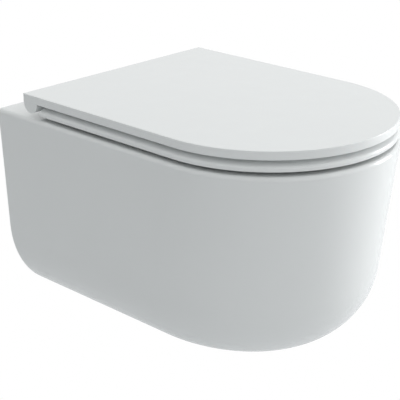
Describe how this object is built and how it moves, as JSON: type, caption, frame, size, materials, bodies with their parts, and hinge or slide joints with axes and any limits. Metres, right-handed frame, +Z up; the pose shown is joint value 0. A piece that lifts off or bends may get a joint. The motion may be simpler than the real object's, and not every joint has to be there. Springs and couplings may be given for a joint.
{
  "type": "wall hung toilet",
  "caption": "White wall hung toilet with a shrouded D shaped ceramic pan, a slim soft closing seat and a flat lid.",
  "frame": {"origin": "on the wall face, midway between the holes for the two wall studs", "axes": "+Z up; -Y out of the wall towards the bowl's front; +X to the right of someone facing the wall"},
  "size_m": [0.3664, 0.5309, 0.3405],
  "materials": {
    "vitreous_china": "glossy white glaze",
    "seat_resin": "satin gloss white thermoset",
    "hinge_metal": "polished plate on cast zinc",
    "bracket_steel": "zinc plated sheet",
    "fastener_steel": "plain stainless",
    "damper_plastic": "dark acetal",
    "bush_plastic": "natural acetal",
    "hood_plastic": "white polypropylene",
    "seal_rubber": "black moulded rubber",
    "buffer_rubber": "pale soft rubber"
  },
  "bodies": {
    "pan": {"pan_shroud": "vitreous_china", "pan_bowl": "vitreous_china", "pan_trap_rise": "vitreous_china", "pan_outlet": "vitreous_china", "pan_inlet": "vitreous_china", "inlet_seal": "seal_rubber", "flush_distributor": "hood_plastic", "stud_washers": "fastener_steel", "stud_nuts": "fastener_steel", "clamp_washers": "fastener_steel", "clamp_screws": "fastener_steel", "clamp_nuts": "fastener_steel", "hinge_studs": "fastener_steel", "post_gaskets": "buffer_rubber", "wall_bracket_left": "bracket_steel", "hinge_post_left": "hinge_metal", "rotary_damper_left": "damper_plastic", "wall_bracket_right": "bracket_steel", "hinge_post_right": "hinge_metal", "rotary_damper_right": "damper_plastic"},
    "seat": {"seat_ring": "seat_resin", "seat_buffers": "buffer_rubber", "lug_bushes": "bush_plastic", "seat_hinge_pins": "fastener_steel"},
    "lid": {"lid": "seat_resin", "lid_buffers": "buffer_rubber", "roll_bushes": "bush_plastic", "lid_hinge_pins": "fastener_steel"}
  },
  "joints": [
    {"name": "seat_hinge", "type": "hinge", "parent": "pan", "child": "seat", "pos_m": [0, -0.06975, 0.1015], "axis": [-1, 0, 0], "range_deg": [0, 92]},
    {"name": "lid_hinge", "type": "hinge", "parent": "seat", "child": "lid", "pos_m": [0, -0.06975, 0.1015], "axis": [-1, 0, 0], "range_deg": [0, 92]}
  ]
}
